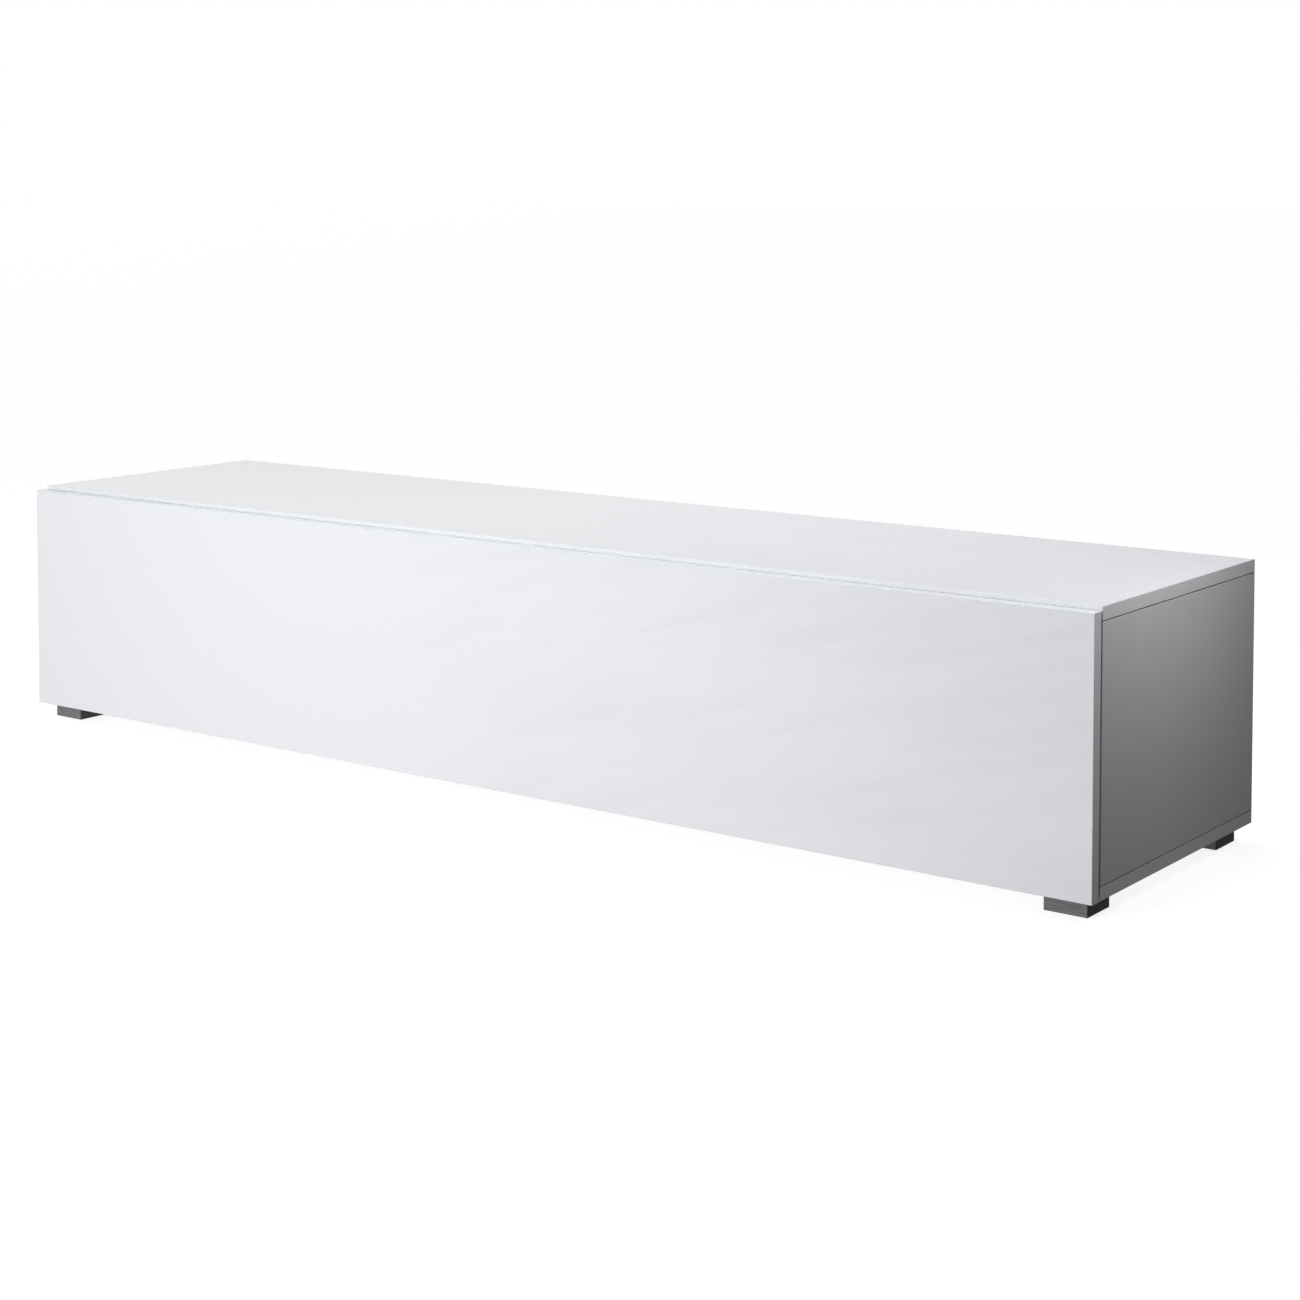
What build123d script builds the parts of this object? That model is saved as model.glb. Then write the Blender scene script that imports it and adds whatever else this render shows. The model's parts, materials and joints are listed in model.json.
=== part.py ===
from build123d import *
from math import atan2, cos, degrees, radians, sin
import os

# Low television bench with one drop-down flap across its whole front.
# Millimetres. X runs along the bench, the front faces -Y, the floor is Z = 0,
# and the origin is under the middle of the whole bench.

os.makedirs("parts", exist_ok=True)

# ---- driving dimensions: overall ----
overall_width = 1600.0
overall_depth = 400.0
overall_height = 320.0

# ---- carcass boards ----
board = 15.0
arris = 0.8
seam_arris = 0.4
back_board = 3.0
groove_depth = 6.0
groove_inset = 10.0
groove_play = 0.2
panel_play = 0.5

# ---- flap ----
flap_board = 15.0
flap_gap = 3.0
top_reveal = 4.5

# ---- feet ----
foot_height = 20.0
foot_side = 50.0
foot_front_setback = 1.0
foot_inset = 14.0
foot_corner = 1.2
foot_edge = 0.6
foot_screw_spread = 24.0
foot_screw_seat = 12.0

# ---- middle upright and cable ways ----
upright_setback = 80.0
cable_slot_height = 50.0
cable_slot_reach = 45.0
cable_slot_rise = 60.0
cable_slot_corner = 12.0
cable_hole_radius = 30.0
cable_hole_spread = 400.0
cable_hole_rise = 90.0
grommet_flange = 5.0
grommet_flange_thickness = 1.5
grommet_wall = 2.5
grommet_play = 0.2
joiner_web = 1.2
joiner_flange = 1.0
joiner_width = 18.0

# ---- knock-down fittings ----
bolt_reach = 24.0
front_bolt_setback = 55.0
rear_bolt_setback = 70.0
dowel_step = 32.0
cam_radius = 7.4
cam_floor = 4.0
cam_bore_radius = 7.5
cam_bore_play = 0.5
cam_pocket_radius = 3.6
cam_slot = (8.0, 1.6, 1.0)
bolt_bore_radius = 3.5
bolt_shank_radius = 3.0
bolt_neck_radius = 2.0
bolt_thread_radius = 2.5
bolt_thread_length = 10.5
bolt_head_length = 3.5
bolt_neck_length = 5.0
dowel_radius = 4.0
dowel_in_panel = 10.0
dowel_in_upright = 20.0
dowel_play = 0.05
hole_end_play = 0.5

# ---- hinges: 35 mm cups with a goose-neck arm turning on a pin inside the cup ----
hinge_inset = 120.0
hinge_inner_spread = 240.0
cup_radius = 17.5
cup_wall = 0.8
cup_edge_distance = 20.0
cup_cover = 2.5
cup_play = 0.1
cup_flange_thickness = 1.0
cup_flange_border = 1.6
cup_flange_start = -4.0
cup_ear_rise = 9.5
cup_ear_size = (60.0, 12.0)
cup_screw_spread = 48.0
lug_half_gap = 4.3
lug_height = 9.0
lug_depth = 6.7
pin_radius = 1.25
pin_half_length = 8.8
pin_rise = 6.5
pin_fit = 0.02
running_fit = 0.05
knuckle_radius = 2.2
knuckle_gap = 1.0
arm_half_width = 4.0
arm_thickness = 3.5
arm_gap = 1.0
arm_corner = 1.6
arm_body_half_width = 9.0
arm_body_height = 8.0
arm_body_start = 18.0
arm_body_end = 64.0
arm_slope_start = 6.0
plate_thickness = 3.0
plate_wing_thickness = 2.0
plate_wing_size = (56.0, 18.0)
plate_screw_spread = 38.0

# ---- stays: friction rods from the flap to the side panels ----
stay_inset = 12.0
stay_radius = 164.9
stay_flap_angle = 7.5
stay_side_angle = 40.0
stay_base_size = (52.0, 26.0)
stay_base_thickness = 3.0
stay_base_screw_spread = 38.0
stay_stud_radius = 5.0
stay_stud_length = 4.0
brake_length = 26.0
brake_height = 20.0
brake_width = 17.0
brake_edge = 2.5
brake_base_gap = 0.5
brake_end_gap = 0.2
rod_radius = 3.0
rod_bore_play = 0.35
rod_eye_radius = 6.5
rod_eye_width = 7.4
stop_radius = 5.5
stop_length = 7.0
stop_gap = 0.3
bracket_thickness = 2.0
bracket_size = (20.0, 48.0)
bracket_screw_spread = 34.0
bracket_lug = 3.0
bracket_lug_gap = 0.3
bracket_lug_radius = 7.0
stay_pin_radius = 2.0

# ---- push latches under the top ----
latch_spread = 420.0
latch_length = 70.0
latch_setback = 6.0
latch_width = 18.0
latch_height = 16.0
latch_edge = 1.5
latch_rear_wall = 6.0
latch_wing = 12.0
latch_wing_length = 34.0
latch_wing_thickness = 3.0
plunger_radius = 4.5
plunger_bore_play = 0.3
plunger_tip_gap = 0.2
plunger_rear = 46.0
magnet_radius = 3.2
magnet_length = 3.0
strike_size = (22.0, 15.0)
strike_thickness = 1.2
spring_radius = 3.6
spring_wire = 0.45
spring_turns = 7
spring_end_gap = 0.3

# ---- screws and bumpers ----
screw_radius = 1.9
screw_head_radius = 3.8
screw_head_height = 1.8
screw_grip = 10.0
screw_hole_play = 0.2
foot_screw_head_radius = 4.4
foot_screw_head_height = 2.6
foot_counterbore_play = 0.5
bumper_radius = 4.0
bumper_height = 1.0
bumper_drop = 18.0

# ---- places that follow from the sizes above ----
front = -overall_depth / 2
back = overall_depth / 2
flap_inner = front + flap_board
carcass_front = flap_inner + flap_gap
half_width = overall_width / 2
hinge_outer_spread = half_width - hinge_inset
hinge_places = (-hinge_outer_spread, -hinge_inner_spread, hinge_inner_spread, hinge_outer_spread)
inner_half = half_width - board
mid_board = half_width - board / 2
cam_height = board / 2 + cam_floor
cam_bore_depth = cam_height + cam_bore_play
bottom_top = foot_height + board
top_low = overall_height - board
back_rear = back - groove_inset - groove_play
back_front = back_rear - back_board
groove_low = back_front - groove_play
groove_high = back_rear + groove_play
upright_front = carcass_front + upright_setback
upright_back = back_front - joiner_flange
flap_bottom = foot_height
flap_top = overall_height - top_reveal

cup_depth = flap_board - cup_cover
pin_depth = cup_depth - cup_wall - knuckle_gap - knuckle_radius
pin_y = flap_inner - pin_depth
pin_z = flap_bottom + pin_rise
cup_z = flap_bottom + cup_edge_distance
arm_low = max(bottom_top, pin_z + pin_depth) + arm_gap
arm_top = arm_low + arm_thickness
plate_top = bottom_top + plate_thickness
arm_body_low = max(plate_top, arm_low)
plate_mid = carcass_front + (arm_body_start + arm_body_end) / 2
wing_top = bottom_top + plate_wing_thickness

stay_x = inner_half - stay_inset
stay_door_y = pin_y + stay_radius * sin(radians(stay_flap_angle))
stay_door_z = pin_z + stay_radius * cos(radians(stay_flap_angle))
stay_side_y = pin_y + stay_radius * sin(radians(stay_side_angle))
stay_side_z = pin_z + stay_radius * cos(radians(stay_side_angle))
open_half_angle = radians(stay_side_angle - stay_flap_angle + 90) / 2
open_chord = 2 * stay_radius * sin(open_half_angle)
rod_length = open_chord + brake_length / 2 + stop_gap + stop_length
rod_slope = degrees(atan2(stay_side_z - stay_door_z, stay_side_y - stay_door_y))

latch_z = top_low - latch_height / 2
latch_front = carcass_front + latch_setback
latch_back = latch_front + latch_length
strike_face = flap_inner + strike_thickness
plunger_front = strike_face + plunger_tip_gap
plunger_back = carcass_front + plunger_rear
latch_screw_y = latch_front + latch_length / 2
latch_screw_x = latch_width / 2 + latch_wing / 2

CENTRE = Align.CENTER
LOW = Align.MIN
HIGH = Align.MAX

foot_centres = {
    "front_left": (-1, carcass_front + foot_front_setback + foot_side / 2),
    "front_right": (1, carcass_front + foot_front_setback + foot_side / 2),
    "rear_left": (-1, back - foot_inset - foot_side / 2),
    "rear_right": (1, back - foot_inset - foot_side / 2),
}
foot_x = half_width - foot_inset - foot_side / 2
sides = {"left": -1, "right": 1}

# Each upright: the middle of its board, the way its cams face, and its bolt rows.
side_rows = (carcass_front + front_bolt_setback, back - rear_bolt_setback)
middle_rows = (upright_front + front_bolt_setback, back - rear_bolt_setback)
uprights = (
    (-mid_board, 1, side_rows),
    (0.0, 1, middle_rows),
    (mid_board, -1, side_rows),
)


def save(piece, label):
    """Name a finished piece and write its STEP file."""
    piece.part.label = label
    export_step(piece.part, f"parts/{label}.step")


def span(low, high):
    """Middle and length of the stretch from low to high."""
    return (low + high) / 2, high - low


def block(x, y, z, mode=Mode.ADD):
    """A rectangular block between three (low, high) pairs."""
    (mid_x, size_x), (mid_y, size_y), (mid_z, size_z) = span(*x), span(*y), span(*z)
    with Locations((mid_x, mid_y, mid_z)):
        Box(size_x, size_y, size_z, mode=mode)


def bore(point, direction, radius, depth, mode=Mode.SUBTRACT):
    """A round hole, or a round bar, that starts at a point and runs along a direction."""
    with Locations(Plane(origin=point, z_dir=direction).location):
        Cylinder(radius, depth, align=(CENTRE, CENTRE, LOW), mode=mode)


def screw(point, direction, seat=0.0, grip=screw_grip, head=(screw_head_radius, screw_head_height)):
    """A screw driven along a direction through a seat's thickness, its head before the point."""
    with Locations(Plane(origin=point, z_dir=direction).location):
        Cylinder(head[0], head[1], align=(CENTRE, CENTRE, HIGH))
        Cylinder(screw_radius, seat + grip, align=(CENTRE, CENTRE, LOW))


def screw_hole(point, direction, depth=screw_grip + hole_end_play):
    """The pilot hole that a screw fills."""
    bore(point, direction, screw_radius, depth)


def side_view(x):
    """A plane across the bench: its own x runs back, its own y runs up, +X is its normal."""
    return Plane(origin=(x, 0, 0), x_dir=(0, 1, 0), z_dir=(1, 0, 0))


def flap_face(x, z):
    """A plane on the flap's inner face, its normal towards the carcass, its own y upwards."""
    return Plane(origin=(x, flap_inner, z), x_dir=(-1, 0, 0), z_dir=(0, 1, 0))


def dowel_rows(rows):
    """The rows of dowels beside the rows of bolts, on the inner side of each."""
    return rows[0] + dowel_step, rows[1] - dowel_step


def panel_fitting_holes(face, inward):
    """Bolt and dowel holes for every upright in a top or bottom panel's inner face."""
    for x, _, rows in uprights:
        for y in rows:
            bore((x, y, face), (0, 0, inward), bolt_thread_radius, bolt_thread_length + hole_end_play)
        for y in dowel_rows(rows):
            depth = dowel_in_panel + hole_end_play
            bore((x, y, face), (0, 0, inward), dowel_radius + dowel_play, depth)


def upright_fitting_holes(x, facing, rows):
    """Cam bores in an upright's face, with bolt and dowel holes in both of its ends."""
    face = x + facing * board / 2
    for end, inward in ((bottom_top, 1), (top_low, -1)):
        for y in rows:
            cam_z = end + inward * bolt_reach
            bore((face, y, cam_z), (-facing, 0, 0), cam_bore_radius, cam_bore_depth)
            bore((x, y, end), (0, 0, inward), bolt_bore_radius, bolt_reach)
        for y in dowel_rows(rows):
            depth = dowel_in_upright + hole_end_play
            bore((x, y, end), (0, 0, inward), dowel_radius + dowel_play, depth)


def seam_edges(panel, axis, side):
    """The two short edges of a panel's face that meet the side panels' ends outside."""
    return panel.faces().sort_by(axis)[side].edges().filter_by(Axis.Y)


def back_groove(z):
    """The stopped groove along a top or bottom panel that the back panels slide into."""
    reach = inner_half + groove_depth
    block((-reach, reach), (groove_low, groove_high), z, Mode.SUBTRACT)


def foot_screw_places():
    """The two screw axes in each foot, one behind the other."""
    for side, y in foot_centres.values():
        for step in (-1, 1):
            yield side * foot_x, y + step * foot_screw_spread / 2


# ---- carcass ----
with BuildPart() as top_panel:
    block((-half_width, half_width), (carcass_front, back), (top_low, overall_height))
    fillet(top_panel.faces().sort_by(Axis.Z)[-1].edges(), arris)
    fillet(seam_edges(top_panel, Axis.Z, 0), seam_arris)
    back_groove((top_low, top_low + groove_depth))
    panel_fitting_holes(top_low, 1)
    for side in sides.values():
        for step in (-1, 1):
            x = side * latch_spread + step * latch_screw_x
            screw_hole((x, latch_screw_y, top_low), (0, 0, 1))
save(top_panel, "top_panel")

with BuildPart() as bottom_panel:
    block((-half_width, half_width), (carcass_front, back), (foot_height, bottom_top))
    fillet(bottom_panel.faces().sort_by(Axis.Z)[0].edges(), arris)
    fillet(seam_edges(bottom_panel, Axis.Z, -1), seam_arris)
    back_groove((bottom_top - groove_depth, bottom_top))
    panel_fitting_holes(bottom_top, -1)
    for x, y in foot_screw_places():
        screw_hole((x, y, foot_height), (0, 0, 1))
    for place in hinge_places:
        for step in (-1, 1):
            screw_hole((place + step * plate_screw_spread / 2, plate_mid, bottom_top), (0, 0, -1))
save(bottom_panel, "bottom_panel")


def make_side_panel(label, side):
    """A side panel, let in between the top and the bottom."""
    low, high = sorted((side * inner_half, side * half_width))
    groove = sorted((side * inner_half, side * (inner_half + groove_depth)))
    with BuildPart() as panel:
        block((low, high), (carcass_front, back), (bottom_top, top_low))
        fillet(panel.edges().filter_by(Axis.Z).group_by(Axis.Y)[0], arris)
        fillet(panel.faces().sort_by(Axis.X)[-1 if side > 0 else 0].edges().filter_by(Axis.Y), seam_arris)
        block(groove, (groove_low, groove_high), (bottom_top, top_low), Mode.SUBTRACT)
        upright_fitting_holes(side * mid_board, -side, side_rows)
        for step in (-1, 1):
            y = stay_side_y + step * stay_base_screw_spread / 2
            screw_hole((side * inner_half, y, stay_side_z), (side, 0, 0))
    save(panel, label)


for name, side in sides.items():
    make_side_panel(f"side_panel_{name}", side)

with BuildPart() as middle_upright:
    block((-board / 2, board / 2), (upright_front, upright_back), (bottom_top, top_low))
    slot_z = span(bottom_top + cable_slot_rise, bottom_top + cable_slot_rise + cable_slot_height)[0]
    with BuildSketch(side_view(-board / 2)):
        with Locations((upright_back, slot_z)):
            RectangleRounded(2 * cable_slot_reach, cable_slot_height, cable_slot_corner)
    extrude(amount=board, mode=Mode.SUBTRACT)
    upright_fitting_holes(0.0, 1, middle_rows)
save(middle_upright, "middle_upright")


def make_back_panel(label, side):
    """One half of the thin back, in the grooves outside and in the joiner at the middle."""
    inner, outer = joiner_web / 2 + groove_play, inner_half + groove_depth - panel_play
    reach = groove_depth - panel_play
    with BuildPart() as panel:
        block(
            sorted((side * inner, side * outer)),
            (back_front, back_rear),
            (bottom_top - reach, top_low + reach),
        )
        hole = (side * cable_hole_spread, back_front, bottom_top + cable_hole_rise)
        bore(hole, (0, 1, 0), cable_hole_radius, back_board)
    save(panel, label)


def make_grommet(label, side):
    """A flanged ring that lines one cable hole from behind."""
    start = Plane(
        origin=(side * cable_hole_spread, back_front, bottom_top + cable_hole_rise),
        x_dir=(-1, 0, 0),
        z_dir=(0, 1, 0),
    )
    barrel = cable_hole_radius - grommet_play
    with BuildPart() as ring:
        with BuildSketch(start):
            Circle(barrel)
        extrude(amount=back_board)
        with BuildSketch(start.offset(back_board)):
            Circle(cable_hole_radius + grommet_flange)
        extrude(amount=grommet_flange_thickness)
        fillet(ring.edges().sort_by(Axis.Y)[-1], grommet_flange_thickness / 2)
        with BuildSketch(start):
            Circle(barrel - grommet_wall)
        extrude(amount=back_board + grommet_flange_thickness, mode=Mode.SUBTRACT)
    save(ring, label)


for name, side in sides.items():
    make_back_panel(f"back_panel_{name}", side)
    make_grommet(f"cable_grommet_{name}", side)

with BuildPart() as back_joiner:
    half = joiner_width / 2
    block((-half, half), (back_front - joiner_flange, back_front), (bottom_top, top_low))
    block((-half, half), (back_rear, back_rear + joiner_flange), (bottom_top, top_low))
    block((-joiner_web / 2, joiner_web / 2), (back_front, back_rear), (bottom_top, top_low))
save(back_joiner, "back_joiner")

# ---- feet ----


def make_foot(label, x, y):
    """A square foot with two counterbored screw holes from below."""
    with BuildPart() as foot:
        block(
            (x - foot_side / 2, x + foot_side / 2),
            (y - foot_side / 2, y + foot_side / 2),
            (0, foot_height),
        )
        fillet(foot.edges().filter_by(Axis.Z), foot_corner)
        chamfer(foot.faces().sort_by(Axis.Z)[0].edges(), foot_edge)
        for step in (-1, 1):
            at = (x, y + step * foot_screw_spread / 2)
            bore((*at, 0), (0, 0, 1), screw_radius + screw_hole_play, foot_height)
            counterbore = foot_screw_head_radius + foot_counterbore_play
            bore((*at, 0), (0, 0, 1), counterbore, foot_screw_seat)
    save(foot, label)


for name, (side, y) in foot_centres.items():
    make_foot(f"foot_{name}", side * foot_x, y)

with BuildPart() as foot_screws:
    for x, y in foot_screw_places():
        screw(
            (x, y, foot_screw_seat),
            (0, 0, 1),
            seat=foot_height - foot_screw_seat,
            head=(foot_screw_head_radius, foot_screw_head_height),
        )
save(foot_screws, "foot_screws")

# ---- knock-down fittings ----
with BuildPart() as cam_locks:
    for x, facing, rows in uprights:
        face = x + facing * board / 2
        for end, inward in ((bottom_top, 1), (top_low, -1)):
            for y in rows:
                cam_z = end + inward * bolt_reach
                bore((face, y, cam_z), (-facing, 0, 0), cam_radius, cam_height, Mode.ADD)
                pocket_start = cam_z - inward * cam_bore_radius
                pocket_depth = cam_bore_radius + cam_pocket_radius
                bore((x, y, pocket_start), (0, 0, inward), cam_pocket_radius, pocket_depth)
                with Locations((face, y, cam_z)):
                    Box(2 * cam_slot[2], cam_slot[0], cam_slot[1], mode=Mode.SUBTRACT)
                    Box(2 * cam_slot[2], cam_slot[1], cam_slot[0], mode=Mode.SUBTRACT)
save(cam_locks, "cam_locks")

with BuildPart() as cam_bolts:
    for x, _, rows in uprights:
        for end, inward in ((bottom_top, 1), (top_low, -1)):
            neck_end = bolt_reach + cam_pocket_radius / 2 - bolt_head_length
            neck_start = neck_end - bolt_neck_length
            for y in rows:
                up = (0, 0, inward)
                bore((x, y, end), (0, 0, -inward), bolt_thread_radius, bolt_thread_length, Mode.ADD)
                bore((x, y, end), up, bolt_shank_radius, neck_start, Mode.ADD)
                at = end + inward * neck_start
                bore((x, y, at), up, bolt_neck_radius, bolt_neck_length, Mode.ADD)
                at = end + inward * neck_end
                bore((x, y, at), up, bolt_shank_radius, bolt_head_length, Mode.ADD)
save(cam_bolts, "cam_bolts")

with BuildPart() as dowels:
    for x, _, rows in uprights:
        for end, inward in ((bottom_top, 1), (top_low, -1)):
            for y in dowel_rows(rows):
                start = end - inward * dowel_in_panel
                length = dowel_in_panel + dowel_in_upright
                bore((x, y, start), (0, 0, inward), dowel_radius, length, Mode.ADD)
save(dowels, "dowels")

# ---- flap ----
with BuildPart() as flap_door:
    block((-half_width, half_width), (front, flap_inner), (flap_bottom, flap_top))
    fillet(flap_door.faces().filter_by(Axis.Y).edges(), arris)
    for place in hinge_places:
        bore((place, flap_inner, cup_z), (0, -1, 0), cup_radius + cup_play, cup_depth)
        for step in (-1, 1):
            ear = (place + step * cup_screw_spread / 2, flap_inner, cup_z + cup_ear_rise)
            screw_hole(ear, (0, -1, 0))
    for side in sides.values():
        for step in (-1, 1):
            z = stay_door_z + step * bracket_screw_spread / 2
            screw_hole((side * stay_x, flap_inner, z), (0, -1, 0))
save(flap_door, "flap_door")

with BuildPart() as flap_bumpers:
    for side in sides.values():
        for z in (flap_top - bumper_drop - arris, bottom_top + bumper_drop):
            at = (side * mid_board, flap_inner, z)
            bore(at, (0, 1, 0), bumper_radius, bumper_height, Mode.ADD)
save(flap_bumpers, "flap_bumpers")

# ---- hinges ----


def make_hinge_cup(label, x):
    """A round cup let into the flap, with two eared screws and two lugs that carry the pin."""
    face = flap_face(x, cup_z)
    inside = cup_radius - cup_wall
    pin_drop = pin_z - cup_z
    with BuildPart() as cup:
        with BuildSketch(face):
            Circle(cup_radius)
        extrude(amount=-cup_depth)
        with BuildSketch(face):
            border = cup_radius + cup_flange_border
            Circle(border)
            with Locations((0, cup_flange_start)):
                Rectangle(2 * border, 2 * border, align=(CENTRE, LOW), mode=Mode.INTERSECT)
            with Locations((0, cup_ear_rise)):
                RectangleRounded(*cup_ear_size, cup_ear_size[1] / 3)
        extrude(amount=cup_flange_thickness)
        with BuildSketch(face.offset(cup_flange_thickness)):
            Circle(inside)
        extrude(amount=-(cup_depth - cup_wall + cup_flange_thickness), mode=Mode.SUBTRACT)
        with BuildSketch(face.offset(-cup_depth + cup_wall)):
            Circle(cup_radius - cup_wall / 2)
            with Locations((0, pin_drop)):
                Rectangle(2 * cup_radius, lug_height, mode=Mode.INTERSECT)
                Rectangle(2 * lug_half_gap, lug_height, mode=Mode.SUBTRACT)
        extrude(amount=lug_depth)
        bore((x - pin_half_length, pin_y, pin_z), (1, 0, 0), pin_radius + pin_fit, 2 * pin_half_length)
        for step in (-1, 1):
            ear = (x + step * cup_screw_spread / 2, flap_inner, cup_z + cup_ear_rise)
            bore(ear, (0, 1, 0), screw_radius + screw_hole_play, cup_flange_thickness)
    save(cup, label)


def make_hinge_arm(label, x):
    """The goose-neck arm: a knuckle on the pin, a neck over the cup's rim, a body on the plate."""
    stem_front, stem_back = pin_y - knuckle_radius, pin_y + knuckle_radius
    body_start, body_end = carcass_front + arm_body_start, carcass_front + arm_body_end
    body_top = arm_body_low + arm_body_height
    slope_start = carcass_front + arm_slope_start
    with BuildPart() as arm:
        with BuildSketch(side_view(x - arm_half_width)):
            with BuildLine():
                Polyline(
                    (stem_front, pin_z),
                    (stem_front, arm_top),
                    (slope_start, arm_top),
                    (body_start, body_top),
                    (body_end, body_top),
                    (body_end, arm_body_low),
                    (body_start - arm_gap, arm_body_low),
                    (slope_start + arm_gap, arm_low),
                    (stem_back, arm_low),
                    (stem_back, pin_z),
                    close=True,
                )
            make_face()
            with Locations((pin_y, pin_z)):
                Circle(knuckle_radius)
        extrude(amount=2 * arm_half_width)
        block(
            (x - arm_body_half_width, x + arm_body_half_width),
            (body_start, body_end),
            (arm_body_low, body_top),
        )
        fillet(arm.edges().filter_by(Axis.Y).group_by(Axis.Z)[-1], arm_corner)
        bore(
            (x - arm_half_width, pin_y, pin_z),
            (1, 0, 0),
            pin_radius + running_fit,
            2 * arm_half_width,
        )
        for y in (body_start + arm_body_height, body_end - arm_body_height):
            bore((x, y, body_top), (0, 0, -1), screw_head_radius, screw_head_height)
    save(arm, label)


def make_hinge_plate(label, x):
    """The mounting plate under an arm, with a screw through each wing."""
    with BuildPart() as plate:
        with BuildSketch(Plane.XY.offset(bottom_top)):
            with Locations((x, plate_mid)):
                RectangleRounded(*plate_wing_size, arm_corner * 2)
        extrude(amount=plate_wing_thickness)
        block(
            (x - arm_body_half_width, x + arm_body_half_width),
            (carcass_front + arm_body_start, carcass_front + arm_body_end),
            (bottom_top, arm_body_low),
        )
        for step in (-1, 1):
            at = (x + step * plate_screw_spread / 2, plate_mid, bottom_top)
            bore(at, (0, 0, 1), screw_radius + screw_hole_play, plate_wing_thickness)
    save(plate, label)


for number, place in enumerate(hinge_places, start=1):
    make_hinge_cup(f"hinge_cup_{number}", place)
    make_hinge_arm(f"hinge_arm_{number}", place)
    make_hinge_plate(f"hinge_plate_{number}", place)

with BuildPart() as hinge_pins:
    for place in hinge_places:
        start = (place - pin_half_length, pin_y, pin_z)
        bore(start, (1, 0, 0), pin_radius, 2 * pin_half_length, Mode.ADD)
save(hinge_pins, "hinge_pins")

with BuildPart() as hinge_cup_screws:
    for place in hinge_places:
        for step in (-1, 1):
            x = place + step * cup_screw_spread / 2
            at = (x, flap_inner + cup_flange_thickness, cup_z + cup_ear_rise)
            screw(at, (0, -1, 0), seat=cup_flange_thickness)
save(hinge_cup_screws, "hinge_cup_screws")

with BuildPart() as hinge_plate_screws:
    for place in hinge_places:
        for step in (-1, 1):
            at = (place + step * plate_screw_spread / 2, plate_mid, wing_top)
            screw(at, (0, 0, -1), seat=plate_wing_thickness)
save(hinge_plate_screws, "hinge_plate_screws")

# ---- stays ----


def make_stay_base(label, side):
    """The plate on the side panel, with the stud that the brake turns on."""
    wall = side * inner_half
    face = Plane(origin=(wall, stay_side_y, stay_side_z), x_dir=(0, side, 0), z_dir=(-side, 0, 0))
    with BuildPart() as base:
        with BuildSketch(face):
            RectangleRounded(*stay_base_size, brake_edge * 2)
        extrude(amount=stay_base_thickness)
        with BuildSketch(face.offset(stay_base_thickness)):
            Circle(stay_stud_radius)
        extrude(amount=stay_stud_length)
        for step in (-1, 1):
            y = stay_side_y + step * stay_base_screw_spread / 2
            at = (wall, y, stay_side_z)
            bore(at, (-side, 0, 0), screw_radius + screw_hole_play, stay_base_thickness)
    save(base, label)


def rod_plane(x, y, z):
    """A plane at a point of the rod: its own x along the closed rod, its normal along +X."""
    along = (0, cos(radians(rod_slope)), sin(radians(rod_slope)))
    return Plane(origin=(x, y, z), x_dir=along, z_dir=(1, 0, 0))


def make_stay_brake(label, side):
    """The friction block that the rod slides through, turning on the base's stud."""
    outer = stay_x + stay_inset - stay_base_thickness - brake_base_gap
    start = min(side * outer, side * (outer - brake_width))
    face = rod_plane(start, stay_side_y, stay_side_z)
    with BuildPart() as brake:
        with BuildSketch(face):
            RectangleRounded(brake_length, brake_height, brake_edge)
        extrude(amount=brake_width)
        fillet(brake.faces().filter_by(Axis.X).edges(), brake_edge / 2)
        bore(
            (side * outer, stay_side_y, stay_side_z),
            (-side, 0, 0),
            stay_stud_radius + running_fit,
            stay_stud_length - brake_base_gap + brake_end_gap,
        )
        with Locations(Plane(origin=(side * stay_x, stay_side_y, stay_side_z), z_dir=face.x_dir).location):
            Cylinder(rod_radius + rod_bore_play, 2 * brake_length, mode=Mode.SUBTRACT)
    save(brake, label)


def make_stay_rod(label, side):
    """The round rod with a flat eye at the flap's end."""
    start = rod_plane(side * stay_x, stay_door_y, stay_door_z)
    with BuildPart() as rod:
        with Locations(Plane(origin=start.origin, z_dir=start.x_dir).location):
            Cylinder(rod_radius, rod_length, align=(CENTRE, CENTRE, LOW))
        with BuildSketch(start.offset(-rod_eye_width / 2)):
            Circle(rod_eye_radius)
        extrude(amount=rod_eye_width)
        with BuildSketch(start.offset(-rod_eye_width / 2)):
            Circle(stay_pin_radius + running_fit)
        extrude(amount=rod_eye_width, mode=Mode.SUBTRACT)
    save(rod, label)


def make_rod_stop(label, side):
    """The stop ring at the rod's free end."""
    start = rod_plane(side * stay_x, stay_door_y, stay_door_z)
    at = start.origin + start.x_dir * (rod_length - stop_length)
    with BuildPart() as stop:
        with Locations(Plane(origin=at, z_dir=start.x_dir).location):
            Cylinder(stop_radius, stop_length, align=(CENTRE, CENTRE, LOW))
            Cylinder(rod_radius + pin_fit, stop_length, align=(CENTRE, CENTRE, LOW), mode=Mode.SUBTRACT)
    save(stop, label)


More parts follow.
